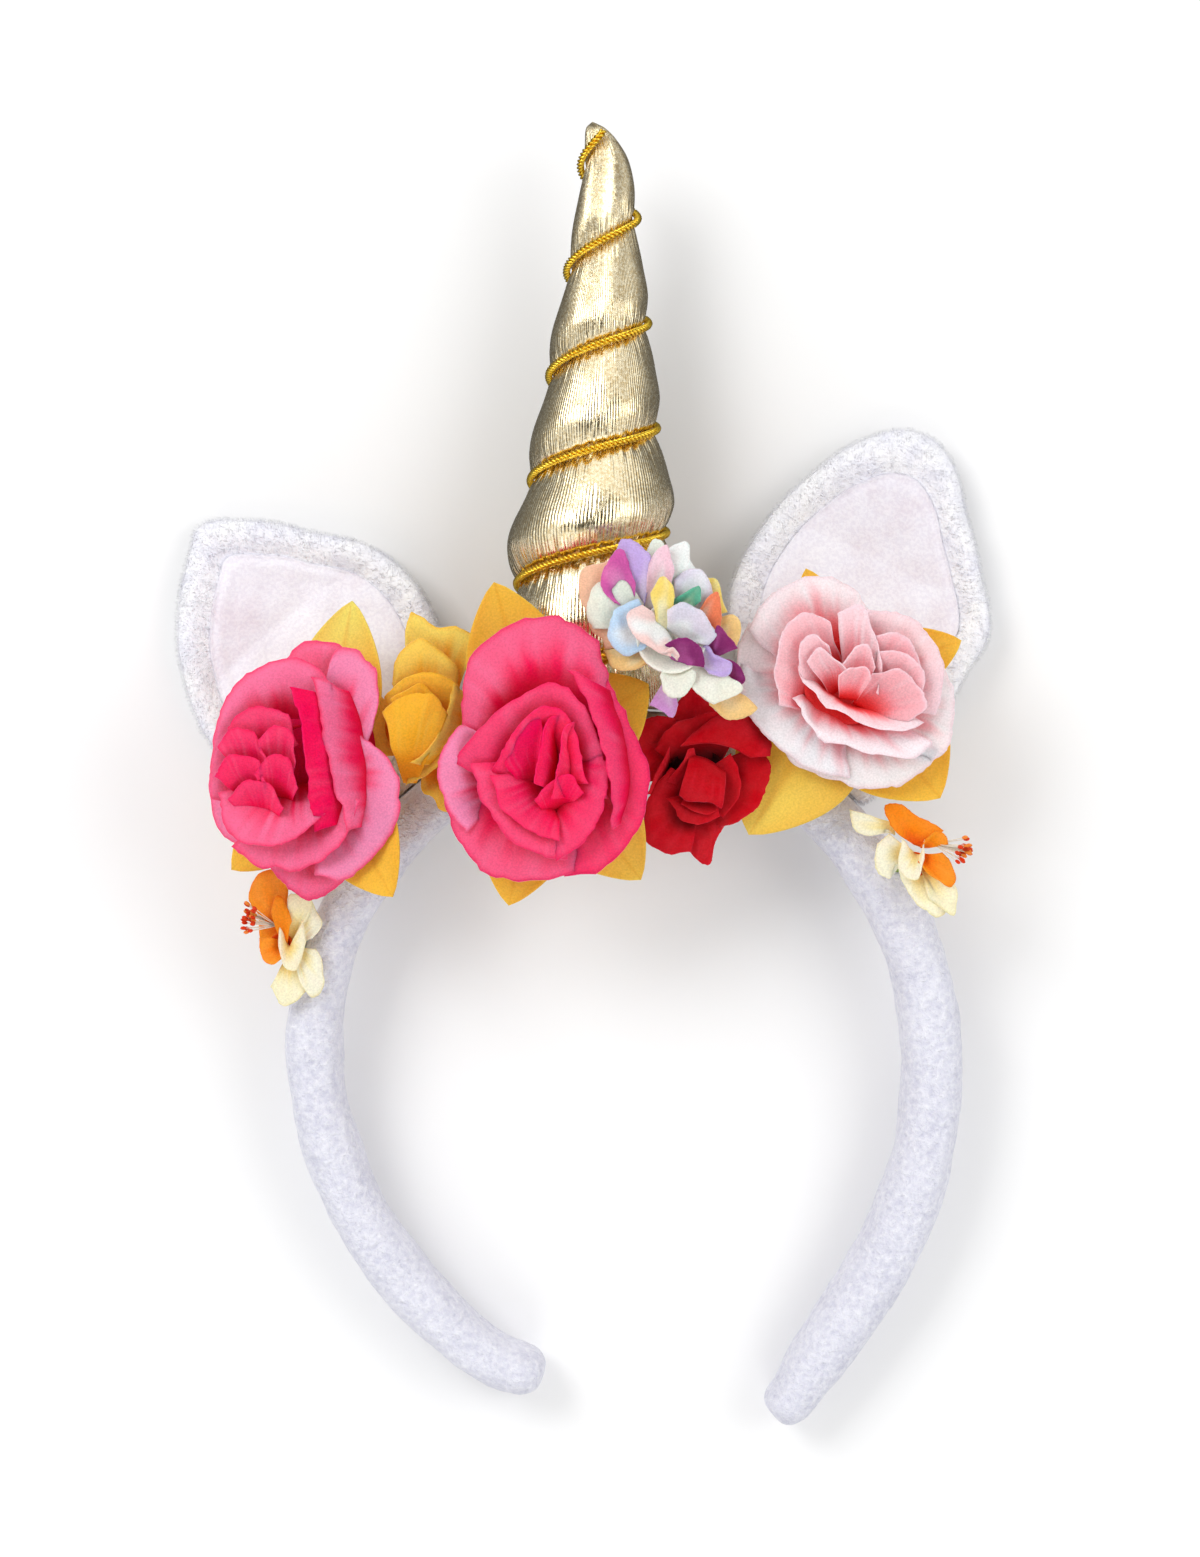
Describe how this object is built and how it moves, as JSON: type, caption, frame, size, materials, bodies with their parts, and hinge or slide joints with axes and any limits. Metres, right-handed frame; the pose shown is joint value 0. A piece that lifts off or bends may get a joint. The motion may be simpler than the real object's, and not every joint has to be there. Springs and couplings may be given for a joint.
{
  "type": "unicorn horn headband",
  "caption": "Padded velvet headband with a stuffed gold horn wound with cord, two plush ears and a row of cloth roses and blossoms, lying on its back",
  "frame": {"origin": "middle of the underside of the bounding box, on the surface that the headband lies on", "axes": "+Y from the band's arm ends to the horn's tip, +Z away from the surface, towards the front of the flowers, +X to the right as the flowers are seen"},
  "size_m": [0.1906, 0.301, 0.0598],
  "materials": {
    "velvet": "white crushed velvet with a cool lavender shade",
    "plush": "short white plush pile",
    "ear_panel": "thin satin with a faint silver shimmer",
    "gold_cloth": "pale gold metallic cloth with fine ribs",
    "gold_cord": "twisted metallic gold cord",
    "pink_petals": "hot pink polyester petals with pale rims",
    "red_petals": "deep red polyester petals",
    "yellow_petals": "golden yellow polyester petals",
    "blush_petals": "blush pink polyester petals, coral in the depths",
    "pastel_petals": "tie-dyed pastel petals in violet, mint, cream and peach",
    "cream_petals": "cream petals",
    "orange_petals": "orange petals",
    "stamens": "red-orange stamens with cream tips",
    "leaves": "golden yellow cloth leaves",
    "stem": "green plastic-covered wire"
  },
  "bodies": {
    "root": {"band": "velvet", "blossom_left_petals_inner": "orange_petals", "blossom_left_petals_outer": "cream_petals", "blossom_left_stamens": "stamens", "blossom_left_stem": "stem", "blossom_right_petals_inner": "orange_petals", "blossom_right_petals_outer": "cream_petals", "blossom_right_stamens": "stamens", "blossom_right_stem": "stem", "ear_left": "plush", "ear_left_panel": "ear_panel", "ear_right": "plush", "ear_right_panel": "ear_panel", "flower_pastel_petals_inner": "pastel_petals", "flower_pastel_petals_middle": "pastel_petals", "flower_pastel_petals_outer": "pastel_petals", "flower_pastel_stem": "stem", "horn": "gold_cloth", "horn_cord": "gold_cord", "rose_blush_heart": "blush_petals", "rose_blush_leaves": "leaves", "rose_blush_petals_inner": "blush_petals", "rose_blush_petals_outer": "blush_petals", "rose_blush_stem": "stem", "rose_pink_centre_heart": "pink_petals", "rose_pink_centre_leaves": "leaves", "rose_pink_centre_petals_inner": "pink_petals", "rose_pink_centre_petals_outer": "pink_petals", "rose_pink_centre_stem": "stem", "rose_pink_left_heart": "pink_petals", "rose_pink_left_leaves": "leaves", "rose_pink_left_petals_inner": "pink_petals", "rose_pink_left_petals_outer": "pink_petals", "rose_pink_left_stem": "stem", "rose_red_heart": "red_petals", "rose_red_petals_outer": "red_petals", "rose_red_stem": "stem", "rose_yellow_heart": "yellow_petals", "rose_yellow_petals_outer": "yellow_petals", "rose_yellow_stem": "stem"}
  },
  "joints": []
}
